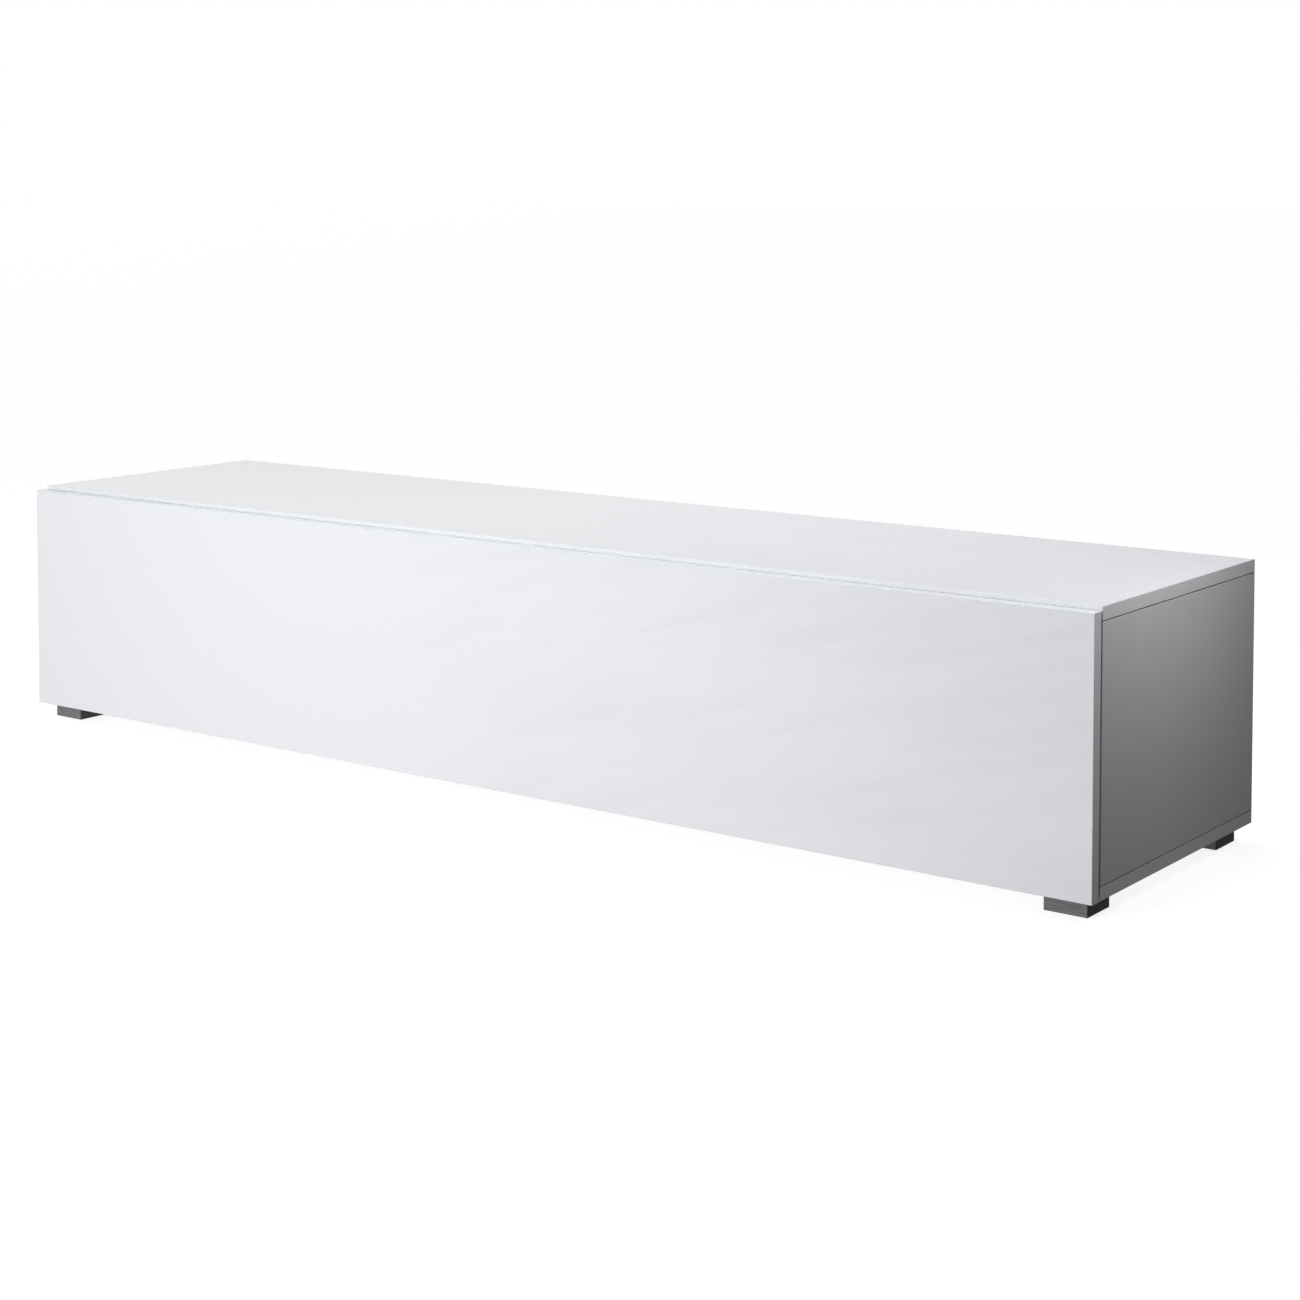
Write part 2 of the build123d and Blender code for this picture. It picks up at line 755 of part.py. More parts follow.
def make_stay_bracket(label, side):
    """The bracket on the flap, two lugs either side of the rod's eye."""
    with BuildPart() as bracket:
        with BuildSketch(flap_face(side * stay_x, stay_door_z)):
            RectangleRounded(*bracket_size, bracket_lug)
        extrude(amount=bracket_thickness)
        for step in (-1, 1):
            near = rod_eye_width / 2 + bracket_lug_gap
            x = side * stay_x + (near if step > 0 else -near - bracket_lug)
            with BuildSketch(side_view(x)):
                with Locations((stay_door_y, stay_door_z)):
                    Circle(bracket_lug_radius)
                with Locations((flap_inner, stay_door_z)):
                    Rectangle(stay_door_y - flap_inner, 2 * bracket_lug_radius, align=(LOW, CENTRE))
            extrude(amount=bracket_lug)
        reach = rod_eye_width / 2 + bracket_lug_gap + bracket_lug
        start = (side * stay_x - reach, stay_door_y, stay_door_z)
        bore(start, (1, 0, 0), stay_pin_radius + pin_fit, 2 * reach)
        for step in (-1, 1):
            at = (side * stay_x, flap_inner, stay_door_z + step * bracket_screw_spread / 2)
            bore(at, (0, 1, 0), screw_radius + screw_hole_play, bracket_thickness)
    save(bracket, label)


for name, side in sides.items():
    make_stay_base(f"stay_base_{name}", side)
    make_stay_brake(f"stay_brake_{name}", side)
    make_stay_rod(f"stay_rod_{name}", side)
    make_rod_stop(f"stay_rod_stop_{name}", side)
    make_stay_bracket(f"stay_bracket_{name}", side)

with BuildPart() as stay_pins:
    for side in sides.values():
        reach = rod_eye_width / 2 + bracket_lug_gap + bracket_lug
        start = (side * stay_x - reach, stay_door_y, stay_door_z)
        bore(start, (1, 0, 0), stay_pin_radius, 2 * reach, Mode.ADD)
save(stay_pins, "stay_pins")

with BuildPart() as stay_base_screws:
    for side in sides.values():
        for step in (-1, 1):
            y = stay_side_y + step * stay_base_screw_spread / 2
            at = (side * (inner_half - stay_base_thickness), y, stay_side_z)
            screw(at, (side, 0, 0), seat=stay_base_thickness)
save(stay_base_screws, "stay_base_screws")

with BuildPart() as stay_bracket_screws:
    for side in sides.values():
        for step in (-1, 1):
            z = stay_door_z + step * bracket_screw_spread / 2
            screw((side * stay_x, flap_inner + bracket_thickness, z), (0, -1, 0), seat=bracket_thickness)
save(stay_bracket_screws, "stay_bracket_screws")

# ---- push latches ----


def make_latch_housing(label, x):
    """The housing under the top panel, with a blind bore for the plunger and two screw wings."""
    half = latch_width / 2
    wing_mid = latch_front + latch_length / 2
    with BuildPart() as housing:
        block((x - half, x + half), (latch_front, latch_back), (top_low - latch_height, top_low))
        fillet(housing.edges().filter_by(Axis.Y).group_by(Axis.Z)[0], latch_edge)
        block(
            (x - half - latch_wing, x + half + latch_wing),
            (wing_mid - latch_wing_length / 2, wing_mid + latch_wing_length / 2),
            (top_low - latch_wing_thickness, top_low),
        )
        bore(
            (x, latch_front, latch_z),
            (0, 1, 0),
            plunger_radius + plunger_bore_play,
            latch_length - latch_rear_wall,
        )
        for step in (-1, 1):
            at = (x + step * latch_screw_x, latch_screw_y, top_low)
            bore(at, (0, 0, -1), screw_radius + screw_hole_play, latch_wing_thickness)
    save(housing, label)


def make_latch_plunger(label, x):
    """The round plunger, with a pocket in its tip for the magnet."""
    with BuildPart() as plunger:
        bore((x, plunger_front, latch_z), (0, 1, 0), plunger_radius, plunger_back - plunger_front, Mode.ADD)
        fillet(plunger.edges().sort_by(Axis.Y)[0], latch_edge / 3)
        bore((x, plunger_front, latch_z), (0, 1, 0), magnet_radius + pin_fit, magnet_length)
    save(plunger, label)


def make_latch_magnet(label, x):
    """The disc magnet in the plunger's tip."""
    with BuildPart() as magnet:
        bore((x, plunger_front, latch_z), (0, 1, 0), magnet_radius, magnet_length, Mode.ADD)
    save(magnet, label)


def make_latch_spring(label, x):
    """The coil spring between the plunger and the end of its bore, at its pressed length."""
    start = plunger_back + spring_wire + spring_end_gap
    height = latch_back - latch_rear_wall - spring_wire - spring_end_gap - start
    with BuildPart() as spring:
        with BuildLine():
            turns = Helix(
                pitch=height / spring_turns,
                height=height,
                radius=spring_radius,
                center=(x, start, latch_z),
                direction=(0, 1, 0),
            )
        with BuildSketch(Plane(origin=turns @ 0, z_dir=turns % 0)):
            Circle(spring_wire)
        sweep(path=turns, is_frenet=True)
    save(spring, label)


def make_latch_strike(label, x):
    """The steel plate stuck to the flap that the magnet holds."""
    with BuildPart() as strike:
        with BuildSketch(flap_face(x, latch_z)):
            RectangleRounded(*strike_size, latch_edge)
        extrude(amount=strike_thickness)
    save(strike, label)


for name, side in sides.items():
    make_latch_housing(f"latch_housing_{name}", side * latch_spread)
    make_latch_plunger(f"latch_plunger_{name}", side * latch_spread)
    make_latch_magnet(f"latch_magnet_{name}", side * latch_spread)
    make_latch_spring(f"latch_spring_{name}", side * latch_spread)
    make_latch_strike(f"latch_strike_{name}", side * latch_spread)

with BuildPart() as latch_screws:
    for side in sides.values():
        for step in (-1, 1):
            x = side * latch_spread + step * latch_screw_x
            screw((x, latch_screw_y, top_low - latch_wing_thickness), (0, 0, 1), seat=latch_wing_thickness)
save(latch_screws, "latch_screws")
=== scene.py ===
import json
import math

import bpy
import numpy as np
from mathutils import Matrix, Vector


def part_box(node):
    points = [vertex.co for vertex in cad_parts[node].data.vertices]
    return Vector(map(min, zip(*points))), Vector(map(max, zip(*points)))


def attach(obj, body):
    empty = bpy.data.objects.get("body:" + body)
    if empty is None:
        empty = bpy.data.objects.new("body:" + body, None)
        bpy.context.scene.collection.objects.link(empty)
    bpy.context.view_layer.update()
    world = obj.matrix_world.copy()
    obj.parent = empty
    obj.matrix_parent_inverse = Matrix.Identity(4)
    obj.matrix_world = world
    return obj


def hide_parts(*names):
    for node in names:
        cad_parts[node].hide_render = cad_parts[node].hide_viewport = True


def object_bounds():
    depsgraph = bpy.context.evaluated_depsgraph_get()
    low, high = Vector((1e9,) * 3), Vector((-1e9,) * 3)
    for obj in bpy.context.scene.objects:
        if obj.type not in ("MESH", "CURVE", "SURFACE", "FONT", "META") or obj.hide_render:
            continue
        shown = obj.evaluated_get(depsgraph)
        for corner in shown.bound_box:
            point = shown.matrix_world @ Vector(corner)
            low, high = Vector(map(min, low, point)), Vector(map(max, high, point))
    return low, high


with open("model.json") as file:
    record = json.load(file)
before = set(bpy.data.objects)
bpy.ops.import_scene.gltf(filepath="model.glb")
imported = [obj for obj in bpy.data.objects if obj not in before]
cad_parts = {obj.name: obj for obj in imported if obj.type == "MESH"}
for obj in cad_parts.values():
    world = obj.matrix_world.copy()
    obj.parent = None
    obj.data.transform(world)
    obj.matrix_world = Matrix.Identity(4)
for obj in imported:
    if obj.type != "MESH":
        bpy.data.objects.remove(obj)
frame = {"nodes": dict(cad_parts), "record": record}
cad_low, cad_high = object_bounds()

# Looks of the low television bench: every length is in metres, in the bench's own frame.
# X runs along the bench, the flap faces -Y, and the floor is Z = 0.

MM = 0.001


# ---- shader maths ----


class Value:
    """A number carried by a shader socket. Arithmetic on it adds Math nodes."""

    def __init__(self, graph, socket):
        self.graph = graph
        self.socket = socket

    def math(self, operation, *terms):
        settings = {"operation": operation}
        node = self.graph.node("ShaderNodeMath", settings, dict(enumerate(terms)))
        return Value(self.graph, node.outputs[0])

    def __add__(self, other):
        return self.math("ADD", self, other)

    def __radd__(self, other):
        return self.math("ADD", other, self)

    def __sub__(self, other):
        return self.math("SUBTRACT", self, other)

    def __rsub__(self, other):
        return self.math("SUBTRACT", other, self)

    def __mul__(self, other):
        return self.math("MULTIPLY", self, other)

    def __rmul__(self, other):
        return self.math("MULTIPLY", other, self)

    def absolute(self):
        return self.math("ABSOLUTE", self)

    def within(self, middle, reach):
        """One where this value is nearer than a reach to a middle value."""
        return (self - middle).absolute().below(reach)

    def below(self, edge):
        """One where this value is under an edge, and zero elsewhere."""
        return self.math("LESS_THAN", self, edge)

    def above(self, edge):
        """One where this value is over an edge, and zero elsewhere."""
        return self.math("GREATER_THAN", self, edge)

    def either(self, other):
        """The larger of this value and another."""
        return self.math("MAXIMUM", self, other)

    def fade(self, low, high, start=0.0, end=1.0):
        """This value carried smoothly from the range low..high to the range start..end."""
        settings = {"interpolation_type": "SMOOTHSTEP", "clamp": True}
        inputs = {0: self, 1: low, 2: high, 3: start, 4: end}
        return Value(self.graph, self.graph.node("ShaderNodeMapRange", settings, inputs).outputs[0])


class Graph:
    """A node tree, and the one method that adds any node to it."""

    def __init__(self, tree):
        self.tree = tree

    def node(self, kind, settings=None, inputs=None):
        """A node of a kind: its settings first, then the values or links of its sockets."""
        node = self.tree.nodes.new(kind)
        for key, value in (settings or {}).items():
            setattr(node, key, value)
        for key, value in (inputs or {}).items():
            source = value.socket if isinstance(value, Value) else value
            if isinstance(source, bpy.types.NodeSocket):
                self.tree.links.new(source, node.inputs[key])
            else:
                node.inputs[key].default_value = source
        return node


class Finish(Graph):
    """One material: a Principled shader, and the patterns on the object's coordinates that feed it."""

    def __init__(self, name, **constants):
        self.material = bpy.data.materials.new(name)
        self.material.use_nodes = True
        super().__init__(self.material.node_tree)
        self.shader = self.tree.nodes["Principled BSDF"]
        for socket, value in constants.items():
            self.shader.inputs[socket.replace("_", " ")].default_value = value
        self.place = self.node("ShaderNodeTexCoord").outputs["Object"]

    def axis(self, index):
        """One coordinate of the point being shaded."""
        split = self.node("ShaderNodeSeparateXYZ", None, {0: self.place})
        return Value(self, split.outputs[index])

    def stretched(self, scale, turn=(0.0, 0.0, 0.0)):
        """The object's coordinates turned, then scaled by three factors.
        A small factor draws a pattern out long and thin."""
        sizes = [1 / factor for factor in scale]
        inputs = {"Vector": self.place, "Scale": sizes, "Rotation": turn}
        return self.node("ShaderNodeMapping", {"vector_type": "TEXTURE"}, inputs).outputs[0]

    def noise(self, size, detail=2.0, rough=0.5, at=None):
        """Soft random variation from 0 to 1, whose lumps are about one size across."""
        inputs = {"Vector": at or self.place, "Scale": 1.0 / size, "Detail": detail, "Roughness": rough}
        return Value(self, self.node("ShaderNodeTexNoise", None, inputs).outputs["Fac"])

    def cells(self, size):
        """Distance to the nearest of scattered points, about one size apart."""
        inputs = {"Vector": self.place, "Scale": 1.0 / size}
        return Value(self, self.node("ShaderNodeTexVoronoi", None, inputs).outputs["Distance"])

    def mixed(self, factor, first, second):
        """A colour between two colours."""
        inputs = {0: factor, 6: first, 7: second}
        return self.node("ShaderNodeMix", {"data_type": "RGBA"}, inputs).outputs[2]

    def relief(self, height, depth, under=None):
        """A bump of a height map whose full range is a depth in metres, over another one."""
        inputs = {"Height": height, "Distance": depth, "Strength": 1.0}
        if under:
            inputs["Normal"] = under
        return self.node("ShaderNodeBump", None, inputs).outputs[0]

    def feed(self, **sockets):
        """Links what varies over the surface to the Principled shader, and gives the material."""
        for name, value in sockets.items():
            source = value.socket if isinstance(value, Value) else value
            self.tree.links.new(source, self.shader.inputs[name.replace("_", " ")])
        return self.material


def colour(red, green, blue):
    return (red, green, blue, 1.0)


# ---- finishes ----

TOP_LOW, TOP_HIGH = (corner[2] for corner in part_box("top_panel"))
FLAP_OUT, FLAP_IN = (corner[1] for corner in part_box("flap_door"))
FLAP_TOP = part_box("flap_door")[1][2]
HALF_WIDTH = cad_high[0]
BASE_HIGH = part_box("bottom_panel")[1][2]
TAPE = 0.9 * MM  # thickness of the edging tape
HAIRLINE = 0.12 * MM  # half the width of the line where tape meets board

# The tapes' pale grey: partly their own tone, partly a painted sheen.
EDGE_TAPE_AND_SHEEN = colour(0.81, 0.815, 0.825)
# Painted highlight: the pale colour of the arris just under each side joint.
PAINTED_ARRIS_HIGHLIGHT = colour(0.95, 0.955, 0.965)
# Painted shade: the near-black colour drawn in each joint gap.
PAINTED_GAP_SHADE = colour(0.06, 0.06, 0.065)

# The foil's pearl emboss, and its roughness from smooth to rough.
PEARL_SIZE, PEARL_DEPTH = 0.9 * MM, 0.02 * MM
FOIL_ROUGH = 0.44, 0.54

REFLECTION_STREAK_SLANT = -0.3  # the lacquer's painted reflection streaks climb to the right by this angle, in radians


def tape_joints(finish, faces):
    """One on the hairlines, a tape's thickness in from each face, where edging tape meets a board."""
    lines = finish.axis(0).absolute().within(HALF_WIDTH - TAPE, HAIRLINE)
    for index, place in faces:
        lines = lines.either(finish.axis(index).within(place, HAIRLINE))
    return lines


def bare_end(finish):
    """One on the faces at the bench's two ends, and zero elsewhere."""
    return finish.axis(0).absolute().above(HALF_WIDTH - 0.6 * MM)


def side_seams(finish, tint):
    """A tint with the carcass's side joints drawn on it: painted shade as a dark line in each joint
    gap, a painted highlight on the arris under it, and paler tape on the ends of the two long panels,
    partly the tape's own tone and partly a painted sheen."""
    height = finish.axis(2)
    end = bare_end(finish)
    # Painted shade: a dark line along each side joint.
    top_gap_shade = height.within(TOP_LOW, 0.65 * MM)
    base_gap_shade = height.within(BASE_HIGH, 0.5 * MM)
    # Painted highlight: a pale line on the arris just under each joint.
    top_arris_highlight = height.within(TOP_LOW - 1.1 * MM, 0.45 * MM)
    base_arris_highlight = height.within(BASE_HIGH - 1.0 * MM, 0.4 * MM)
    taped = height.above(TOP_LOW).either(height.below(BASE_HIGH))
    # Paler tape on the ends: partly the tape's own tone, partly a painted sheen.
    tint = finish.mixed(taped * end * 0.8, tint, EDGE_TAPE_AND_SHEEN)
    tint = finish.mixed(top_arris_highlight.either(base_arris_highlight) * end * 0.8, tint, PAINTED_ARRIS_HIGHLIGHT)
    return finish.mixed(top_gap_shade.either(base_gap_shade) * end * 0.85, tint, PAINTED_GAP_SHADE)


def gloss_lacquer(name, outer, edge, faces, seams):
    """White high-gloss lacquer outside: long shallow waves, orange peel, taped edges, and painted
    reflections and shade: soft slanting reflection streaks, darker patches and a faint pink tint,
    stronger towards the right.
    An edge can be satin instead, with a painted shade darkening it. Inside, the same board is matt
    foil."""
    finish = Finish(name, Coat_Roughness=0.03, Coat_IOR=1.5)
    gloss = outer(finish) * finish.axis(0).absolute().below(HALF_WIDTH - 0.5 * MM)
    satin = edge(finish)
    # rightward makes the painted shade and painted reflections stronger towards the right end.
    rightward = finish.axis(0).fade(-0.3, 0.2)
    reflection_streak = finish.noise(0.024, at=finish.stretched((0.13, 0.4, 1.0), (0.0, REFLECTION_STREAK_SLANT, 0.0)))
    shade = finish.noise(0.12, at=finish.stretched((0.22, 1.0, 1.3)))
    speck = finish.noise(1.6 * MM, 2.0, 0.7)
    pink_reflection = finish.axis(0).fade(0.35, 0.8) * finish.noise(0.13, 1.0).fade(0.45, 0.7)
    white = finish.mixed(speck.fade(0.3, 0.7), colour(0.811, 0.828, 0.861), colour(0.833, 0.849, 0.881))
    # Painted shade: soft darker patches towards the right end.
    white = finish.mixed(shade.fade(0.4, 0.65) * rightward * 0.45, white, colour(0.78, 0.795, 0.832))
    # Painted reflection: soft slanting streaks of reflected ripples, towards the right end.
    white = finish.mixed(reflection_streak.fade(0.48, 0.66) * rightward * 0.55, white, colour(0.775, 0.79, 0.828))
    # Painted reflection: a faint pink tint on patches towards the right end.
    white = finish.mixed(pink_reflection * 0.5, white, colour(0.828, 0.808, 0.868))
    # Satin edges: less coat, and a darker grey that is painted shade.
    white = finish.mixed(satin, white, colour(0.70, 0.71, 0.715))
    white = finish.mixed(tape_joints(finish, faces) * 0.25, white, colour(0.55, 0.56, 0.58))
    tint = seams(finish, finish.mixed(gloss, foil_white(finish), white))
    waves = finish.relief(finish.noise(0.09, 1.0, 0.4), 0.02 * MM)
    peel = finish.relief(finish.noise(3.5 * MM, 1.0), 0.0009 * MM, under=waves)
    skin = finish.relief(finish.cells(PEARL_SIZE) * (1 - gloss), PEARL_DEPTH, under=peel)
    rough = gloss * speck.fade(0.3, 0.7, 0.26, 0.3) + (1 - gloss) * speck.fade(0.3, 0.7, *FOIL_ROUGH)
    coat = gloss * (1 - satin * 0.8)
    return finish.feed(Base_Color=tint, Roughness=rough, Coat_Weight=coat, Normal=skin)


def foil_white(finish):
    """Foil's white: broad uneven patches and fine pale flecks."""
    patch = finish.noise(0.2, 3.0)
    fleck = finish.noise(1.6 * MM, 2.0, 0.6, finish.stretched((1.0, 0.35, 1.0)))
    white = finish.mixed(patch.fade(0.3, 0.7), colour(0.70, 0.705, 0.715), colour(0.73, 0.735, 0.742))
    return finish.mixed(fleck.fade(0.45, 0.75) * 0.5, white, colour(0.66, 0.665, 0.675))


def matt_foil():
    """Matt white foil on chipboard: a fine pearl emboss over a barely uneven board, edges taped."""
    finish = Finish("matt_white_foil")
    joints = tape_joints(finish, [(1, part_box("side_panel_right")[0][1] + TAPE)])
    pit = finish.noise(1.3 * MM, 1.0).above(0.8)
    tint = finish.mixed(pit * 0.3, foil_white(finish), colour(0.5, 0.5, 0.5))
    tint = side_seams(finish, finish.mixed(joints * 0.2, tint, colour(0.5, 0.5, 0.51)))
    board = finish.relief(finish.noise(0.03), 0.02 * MM)
    pearl = finish.relief(finish.cells(PEARL_SIZE), PEARL_DEPTH, under=board)
    rough = finish.noise(1.5 * MM).fade(0.3, 0.7, *FOIL_ROUGH)
    return finish.feed(Base_Color=tint, Roughness=rough, Normal=pearl)


def painted_hardboard():
    """White painted hardboard: matted fibres under a thin even coat, with a few darker flecks."""
    finish = Finish("white_hardboard")
    fibre = finish.noise(1.2 * MM, 4.0, 0.65, finish.stretched((0.5, 1.0, 1.0)))
    fleck = finish.noise(2.5 * MM).fade(0.66, 0.74)
    tint = finish.mixed(fibre.fade(0.3, 0.7), colour(0.66, 0.655, 0.635), colour(0.72, 0.715, 0.70))
    tint = finish.mixed(fleck * 0.4, tint, colour(0.56, 0.53, 0.47))
    rough = fibre.fade(0.3, 0.7, 0.55, 0.75)
    return finish.feed(Base_Color=tint, Roughness=rough, Normal=finish.relief(fibre, 0.05 * MM))


def moulded_plastic(name, low, high, gloss):
    """Moulded plastic: fine spark-eroded grain, faint flow marks and polished patches."""
    finish = Finish(name, Specular_IOR_Level=0.45)
    flow = finish.noise(9 * MM, at=finish.stretched((0.4, 1.0, 1.0)))
    grain = finish.noise(0.35 * MM)
    tint = finish.mixed(flow.fade(0.3, 0.7), colour(*low), colour(*high))
    rough = flow.fade(0.35, 0.65, gloss, gloss + 0.12)
    return finish.feed(Base_Color=tint, Roughness=rough, Normal=finish.relief(grain, 0.012 * MM))


def foot_satin():
    """Silver-grey satin plastic: a fine brushed grain along the foot, scuffed paler at the floor."""
    finish = Finish("silver_foot_satin", Metallic=0.35, Specular_IOR_Level=0.35)
    grain = finish.noise(0.7 * MM, 3.0, 0.6, finish.stretched((0.06, 0.06, 1.0)))
    scuff = finish.noise(6 * MM, 3.0).fade(0.6, 0.75) * finish.axis(2).fade(5 * MM, 0.0)
    tint = finish.mixed(grain.fade(0.3, 0.7), colour(0.145, 0.149, 0.157), colour(0.24, 0.245, 0.255))
    tint = finish.mixed(scuff * 0.4, tint, colour(0.3, 0.3, 0.31))
    rough = grain.fade(0.3, 0.7, 0.36, 0.52)
    return finish.feed(Base_Color=tint, Roughness=rough, Normal=finish.relief(grain, 0.012 * MM))


def plated(name, dull, bright, size, grain_stretch, rough_low, rough_high):
    """Plated metal: cloudy plate, marks along its grain from drawing or tumbling, and small
    bright scratches. The marks are one size across, and stretched by three factors."""
    finish = Finish(name, Metallic=1.0)
    cloud = finish.noise(size * 8, 3.0)
    marks = finish.noise(size, 4.0, 0.65, finish.stretched(grain_stretch))
    scratch = finish.noise(size * 0.6, 1.0, 0.5, finish.stretched((6.0, 0.4, 3.0), (0.4, 0.3, 0.9)))
    tint = finish.mixed(cloud.fade(0.3, 0.7), colour(*dull), colour(*bright))
    rough = marks.fade(0.3, 0.7, rough_low, rough_high) - scratch.fade(0.7, 0.76) * 0.06
    return finish.feed(Base_Color=tint, Roughness=rough, Normal=finish.relief(marks, 0.0005 * MM))


def beech_wood():
    """Bare beech: straight grain along the dowel, with short dark medullary flecks."""
    finish = Finish("bare_beech", Roughness=0.62)
    grain = finish.noise(1.5 * MM, 3.0, 0.6, finish.stretched((1.0, 1.0, 0.08)))
    fleck = finish.noise(0.8 * MM, 1.0, 0.5, finish.stretched((1.0, 1.0, 0.3))).fade(0.64, 0.7)
    tint = finish.mixed(grain.fade(0.3, 0.7), colour(0.50, 0.31, 0.17), colour(0.62, 0.42, 0.25))
    tint = finish.mixed(fleck * 0.6, tint, colour(0.32, 0.17, 0.08))
    return finish.feed(Base_Color=tint, Normal=finish.relief(grain, 0.03 * MM))


def soft_bumper():
    """Clear soft bumper: milky, glossy, with a little dust caught on it."""
    finish = Finish("clear_bumper", Transmission_Weight=0.55, IOR=1.45, Coat_Weight=0.3)
    dust = finish.noise(0.4 * MM)
    tint = finish.mixed(dust.fade(0.6, 0.8), colour(0.86, 0.87, 0.87), colour(0.77, 0.77, 0.76))
    rough = dust.fade(0.4, 0.7, 0.12, 0.3)
    return finish.feed(Base_Color=tint, Roughness=rough, Normal=finish.relief(dust, 0.0008 * MM))


# ---- pieces ----


def solid_places(node, along):
    """The lowest and highest corners of each solid in a node that holds several, along one axis.
    The points are split wherever they leave a clear gap: a narrow one across that axis, a wide
    one along it, because a screw's own points leave gaps down its length."""
    mesh = frame["nodes"][node].data
    points = np.empty(len(mesh.vertices) * 3)
    mesh.vertices.foreach_get("co", points)
    groups = [points.reshape(-1, 3)]
    for axis in range(3):
        gap = 100 * MM if axis == along else 5 * MM
        parted = []
        for group in groups:
            group = group[np.argsort(group[:, axis])]
            parted += np.split(group, np.flatnonzero(np.diff(group[:, axis]) > gap) + 1)
        groups = parted
    return [(group.min(axis=0), group.max(axis=0)) for group in groups]


def new_piece(name, points, faces, finish, body):
    """A closed mesh in the bench's frame, with its finish and the body that it rides on."""
    mesh = bpy.data.meshes.new(name)
    mesh.from_pydata(points.tolist(), [], faces)
    mesh.polygons.foreach_set("use_smooth", [True] * len(mesh.polygons))
    mesh.materials.append(finish)
    piece = bpy.data.objects.new(name, mesh)
    bpy.context.scene.collection.objects.link(piece)
    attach(piece, body)
    return piece


def screw_form(head_radius, head_height, shank_radius, length, pitch=1.8 * MM):
    """Points and faces of one screw, its head upwards and its seat at height 0.

    The head's top is a square grid pressed into a disc: x = u * sqrt(1 - v^2 / 2) and
    y = v * sqrt(1 - u^2 / 2). Its height is a shallow dome less a cross, which is as deep as the
    grid's arms reach and shallower outwards. The rest are rings with the disc's own angles.
    A ring's radius down the shank is the core plus a ridge, which rises where
    depth / pitch - angle / turn is near a half, so it winds into a thread and runs out at the tip."""
    arm, reach, wall = 0.13, 0.56, 0.035  # half an arm's width, its length and its wall, in radii
    dome_drop, cross_depth, cross_rise = 0.35, 0.62, 0.4  # in head heights
    core, ridge_height = 0.72, 0.28  # in shank radii
    ticks = np.array([0.0, arm, arm + wall, 0.34, reach, reach + wall, 0.84, 1.0])
    lines = np.concatenate([-ticks[:0:-1], ticks])
    count = len(lines)
    u, v = np.meshgrid(lines, lines)
    x, y = u * np.sqrt(1 - v**2 / 2), v * np.sqrt(1 - u**2 / 2)
    across, far = np.minimum(abs(u), abs(v)), np.maximum(abs(u), abs(v))
    cross = (across <= arm + 1e-6) & (far <= reach + 1e-6)
    drop = dome_drop * (x**2 + y**2) + cross_depth * cross * (1 - cross_rise * far)
    top = head_height * (1 - drop)
    disc = np.stack([x * head_radius, y * head_radius, top], axis=-1).reshape(-1, 3)

    grid = np.arange(count * count).reshape(count, count)
    corners = [grid[:-1, :-1], grid[:-1, 1:], grid[1:, 1:], grid[1:, :-1]]
    faces = np.stack(corners, axis=-1).reshape(-1, 4).tolist()
    rim = np.concatenate([grid[0, :-1], grid[:-1, -1], grid[-1, :0:-1], grid[:0:-1, 0]])
    angle = np.arctan2(disc[rim, 1], disc[rim, 0])

    depth = np.linspace(0.2 * MM, length - 2.2 * MM, int(length / pitch * 6))
    phase = (depth[:, None] / pitch - angle / (2 * math.pi)) % 1.0
    ridge = np.clip(1 - abs(phase - 0.5) * 3.2, 0, 1)
    flat = np.ones_like(angle)
    rings = [
        (head_radius * flat, 0.4 * head_height * flat),
        (0.96 * head_radius * flat, 0 * flat),
        (shank_radius * flat, 0 * flat),
        *zip(shank_radius * (core + ridge_height * ridge), -depth[:, None] * flat),
        (0.7 * shank_radius * flat, (1.9 * MM - length) * flat),
        (0.12 * shank_radius * flat, -length * flat),
    ]
    loops = [np.stack([r * np.cos(angle), r * np.sin(angle), z], axis=-1) for r, z in rings]
    ids = len(disc) + np.arange(len(loops) * len(rim)).reshape(len(loops), -1)
    ids = np.concatenate([[rim], ids])
    after = np.roll(ids, -1, axis=1)
    faces += np.stack([ids[:-1], ids[1:], after[1:], after[:-1]], axis=-1).reshape(-1, 4).tolist()
    faces.append(ids[-1, ::-1].tolist())
    return np.concatenate([disc, *loops]), faces


SMALL_HEAD = 3.8 * MM, 1.8 * MM
FOOT_HEAD = 4.4 * MM, 2.6 * MM
SHANK_RADIUS = 1.9 * MM
TURN_STEP = 2.4  # radians from one screw's cross to the next


def set_screws(node, out, body, head=SMALL_HEAD):
    """Cross-recess screws in place of a node's plain ones, their heads towards out and each
    cross turned by its own angle. Screws that lie along the bench face its middle."""
    along = int(np.argmax(np.abs(out)))
    places = solid_places(node, along)
    low, high = places[0]
    points, faces = screw_form(*head, SHANK_RADIUS, high[along] - low[along] - head[1])
    all_points, all_faces = [], []
    for number, (low, high) in enumerate(places):
        seat = (low + high) / 2
        facing = Vector(out) if along else -Vector(out) * math.copysign(1, seat[0])
        seat[along] = high[along] - head[1] if facing[along] > 0 else low[along] + head[1]
        cos, sin = math.cos(TURN_STEP * number), math.sin(TURN_STEP * number)
        spin = np.array([[cos, -sin, 0], [sin, cos, 0], [0, 0, 1]])
        turn_out = np.array(Vector((0, 0, 1)).rotation_difference(facing).to_matrix())
        start = number * len(points)
        all_points.append(points @ (turn_out @ spin).T + seat)
        all_faces += [[start + corner for corner in face] for face in faces]
    points = np.concatenate(all_points)
    piece = new_piece(node + "_crossed", points, all_faces, FINISHES["zinc"], body)
    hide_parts(node)


# ---- stage ----


FLOOR_REACH = 40.0


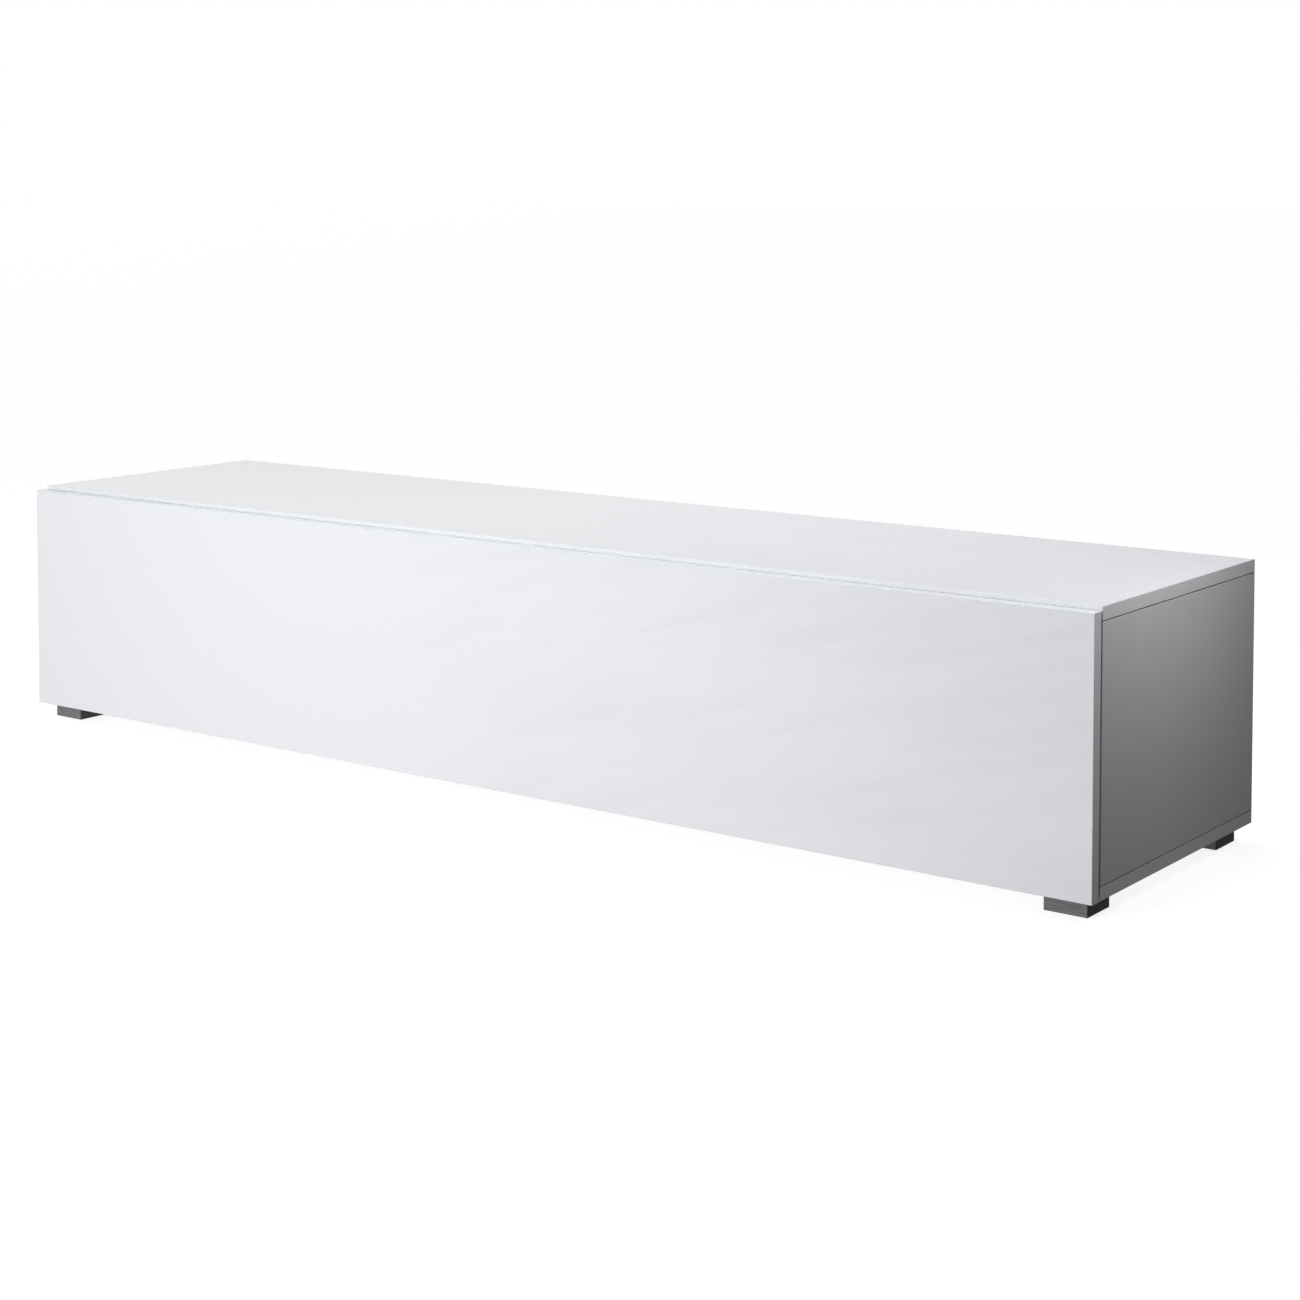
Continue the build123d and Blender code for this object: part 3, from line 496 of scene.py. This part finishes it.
def make_floor():
    """A plain pale floor, far wider than any view of it. It sends no light back to the bench:
    the room's lower lobe stands for that."""
    half = FLOOR_REACH
    mesh = bpy.data.meshes.new("floor")
    corners = [(-half, -half, 0), (half, -half, 0), (half, half, 0), (-half, half, 0)]
    mesh.from_pydata(corners, [], [(0, 1, 2, 3)])
    floor = bpy.data.objects.new("floor", mesh)
    bpy.context.scene.collection.objects.link(floor)
    finish = Finish(
        "pale_floor",
        Roughness=0.9,
        Base_Color=colour(0.4, 0.4, 0.4),
        Specular_IOR_Level=0.2,
        Emission_Color=colour(1, 1, 1),
        Emission_Strength=0.84,
    )
    mesh.materials.append(finish.material)
    floor.visible_diffuse = False
    floor.visible_glossy = False


# Where each lobe of the room light comes from, and its strength.
ROOM = (
    ((-1, 0, 0), 1.0),
    ((1, 0, 0), 0.02),
    ((0, 1, 0), 0.1),
    ((0, 0, 1), 0.03),
    ((0, 0, -1), 0.03),
)
LOBE_START = -0.2  # cosine of the angle off a lobe's direction at which it fades to none


def make_world():
    """Soft room light from broad lobes, each strongest along its own direction.
    The camera itself sees a plain white backdrop."""
    world = bpy.data.worlds.new("studio")
    bpy.context.scene.world = world
    world.use_nodes = True
    world.node_tree.nodes.clear()
    studio = Graph(world.node_tree)
    direction = studio.node("ShaderNodeTexCoord").outputs["Generated"]
    glow = None
    for towards, strength in ROOM:
        inputs = {0: direction, 1: towards}
        dot = studio.node("ShaderNodeVectorMath", {"operation": "DOT_PRODUCT"}, inputs)
        lobe = Value(studio, dot.outputs["Value"]).fade(LOBE_START, 1.0, 0.0, strength)
        glow = glow + lobe if glow else lobe
    white = colour(1, 1, 1)
    room = studio.node("ShaderNodeBackground", None, {"Color": white, "Strength": glow})
    backdrop = studio.node("ShaderNodeBackground", None, {"Color": white, "Strength": 1.0})
    seen = studio.node("ShaderNodeLightPath").outputs["Is Camera Ray"]
    shown = {0: seen, 1: room.outputs[0], 2: backdrop.outputs[0]}
    surface = studio.node("ShaderNodeMixShader", None, shown).outputs[0]
    studio.node("ShaderNodeOutputWorld", None, {"Surface": surface})


def area_light(name, place, aim, size, power, tint=(1.0, 1.0, 1.0)):
    """A soft rectangular light at a place, facing a point, and not mirrored in the lacquer."""
    data = bpy.data.lights.new(name, "AREA")
    data.shape, data.size, data.size_y = "RECTANGLE", *size
    data.energy, data.color = power, tint
    lamp = bpy.data.objects.new(name, data)
    bpy.context.scene.collection.objects.link(lamp)
    lamp.visible_camera = False
    lamp.visible_glossy = False
    lamp.location = place
    lamp.rotation_euler = (Vector(aim) - Vector(place)).to_track_quat("-Z", "Y").to_euler()


def make_camera():
    """The camera: its place, how far it looks down and round, its lens in millimetres, its shift."""
    look_down, look_round = 2.931, 36.939
    data = bpy.data.cameras.new("camera")
    data.sensor_width = 36.0
    data.lens = 69.004
    data.shift_x, data.shift_y = 0.022, -0.27
    camera = bpy.data.objects.new("camera", data)
    bpy.context.scene.collection.objects.link(camera)
    camera.location = (1.90248, -2.45061, 0.75488)
    camera.rotation_euler = (math.radians(90 - look_down), 0.0, math.radians(look_round))
    bpy.context.scene.camera = camera


# ---- the bench ----


def top_satin_and_shade(finish):
    """The satin tape on the top panel's two short ends, darkened with a painted shade."""
    return finish.axis(2).below(TOP_HIGH - 0.8 * MM) * bare_end(finish) * 0.9


def flap_satin_and_shade(finish):
    """The flap's upper edge, behind its gloss face: a touch of satin and of painted shade."""
    upper = finish.axis(2).above(FLAP_TOP - 0.5 * MM)
    return upper * finish.axis(1).above(FLAP_OUT + 0.8 * MM) * 0.1


BOARDS = {
    "top_panel": gloss_lacquer(
        "gloss_top_lacquer",
        lambda finish: finish.axis(2).above(TOP_LOW + 0.2 * MM),
        top_satin_and_shade,
        [(2, TOP_HIGH - TAPE)],
        side_seams,
    ),
    "flap_door": gloss_lacquer(
        "gloss_flap_lacquer",
        lambda finish: finish.axis(1).below(FLAP_IN - 0.2 * MM),
        flap_satin_and_shade,
        [(1, FLAP_OUT + TAPE), (2, FLAP_TOP - TAPE)],
        # Paler tape on the flap's ends: partly its own tone, partly a painted sheen.
        lambda finish, tint: finish.mixed(bare_end(finish) * 0.8, tint, EDGE_TAPE_AND_SHEEN),
    ),
}
WHITE_GREYS = (0.74, 0.74, 0.735), (0.79, 0.79, 0.785)
DARK_GREYS = (0.17, 0.176, 0.185), (0.2, 0.206, 0.215)
ZINC = (0.76, 0.78, 0.82), (0.84, 0.85, 0.87)
NICKEL = (0.80, 0.785, 0.765), (0.86, 0.845, 0.82)
EVEN, DRAWN = (1.0, 1.0, 1.0), (1.0, 0.08, 1.0)
FINISHES = {
    "foil_board": matt_foil(),
    "back_board": painted_hardboard(),
    "white_plastic": moulded_plastic("white_moulded_plastic", *WHITE_GREYS, 0.4),
    "grey_plastic": moulded_plastic("grey_moulded_plastic", *DARK_GREYS, 0.38),
    "foot_plastic": foot_satin(),
    "zinc": plated("bright_zinc", *ZINC, 0.8 * MM, EVEN, 0.28, 0.36),
    "beech": beech_wood(),
    "nickel_steel": plated("nickel_plated_steel", *NICKEL, 0.5 * MM, DRAWN, 0.24, 0.32),
    "clear_rubber": soft_bumper(),
}
slots = {part["node"]: part["material_slot"] for part in frame["record"]["subparts"]}
for name, node in frame["nodes"].items():
    node.data.materials.clear()
    node.data.materials.append(BOARDS.get(name) or FINISHES[slots[name]])

set_screws("foot_screws", (0, 0, -1), "carcass", FOOT_HEAD)
set_screws("hinge_plate_screws", (0, 0, 1), "carcass")
set_screws("latch_screws", (0, 0, -1), "carcass")
set_screws("stay_base_screws", (1, 0, 0), "carcass")
set_screws("hinge_cup_screws", (0, 1, 0), "flap")
set_screws("stay_bracket_screws", (0, 1, 0), "flap")

make_floor()
make_world()
area_light("key", (-0.22, -2.2, 0.55), (-0.2, -0.1, 0.15), (1.1, 0.6), 35.0)
area_light("fill", (1.06, -0.07, 0.56), (0.8, 0.0, 0.21), (0.25, 0.25), 0.96, (1.0, 0.97, 1.0))
area_light("head", (0.3, 0.3, 1.35), (0.2, 0.1, 0.3), (1.0, 0.5), 8.5, (0.965, 0.99, 1.04))
make_camera()
bpy.context.scene.view_settings.view_transform = "Standard"
